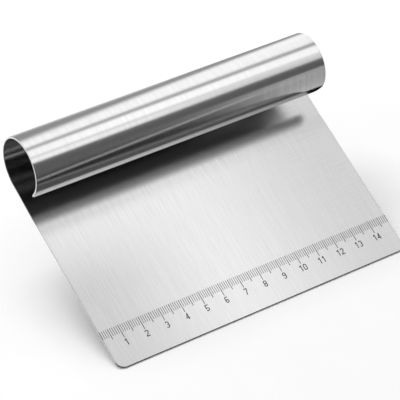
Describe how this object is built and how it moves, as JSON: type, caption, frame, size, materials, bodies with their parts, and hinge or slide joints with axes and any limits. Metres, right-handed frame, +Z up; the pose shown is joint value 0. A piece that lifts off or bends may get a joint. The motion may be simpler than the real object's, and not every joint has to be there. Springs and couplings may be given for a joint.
{
  "type": "dough scraper",
  "caption": "Stainless steel dough scraper: a flat blade with rounded corners and a black centimetre scale, bent at its back into an open rolled handle.",
  "frame": {"origin": "middle of the footprint, on the surface that the blade's flat underside lies on", "axes": "+X along the scraping edge in the direction in which the scale counts up, +Y from the scraping edge to the rolled handle, +Z up, out of the marked face"},
  "size_m": [0.1484, 0.1072, 0.0284],
  "materials": {
    "sheet": "rolled stainless sheet with a soft sheen, its grain running from the scraping edge round the roll",
    "marks": "matt black fill in shallow etching"
  },
  "bodies": {
    "root": {"rolled_sheet": "sheet", "millimetre_marks": "marks", "half_centimetre_marks": "marks", "centimetre_marks": "marks", "numerals": "marks"}
  },
  "joints": []
}
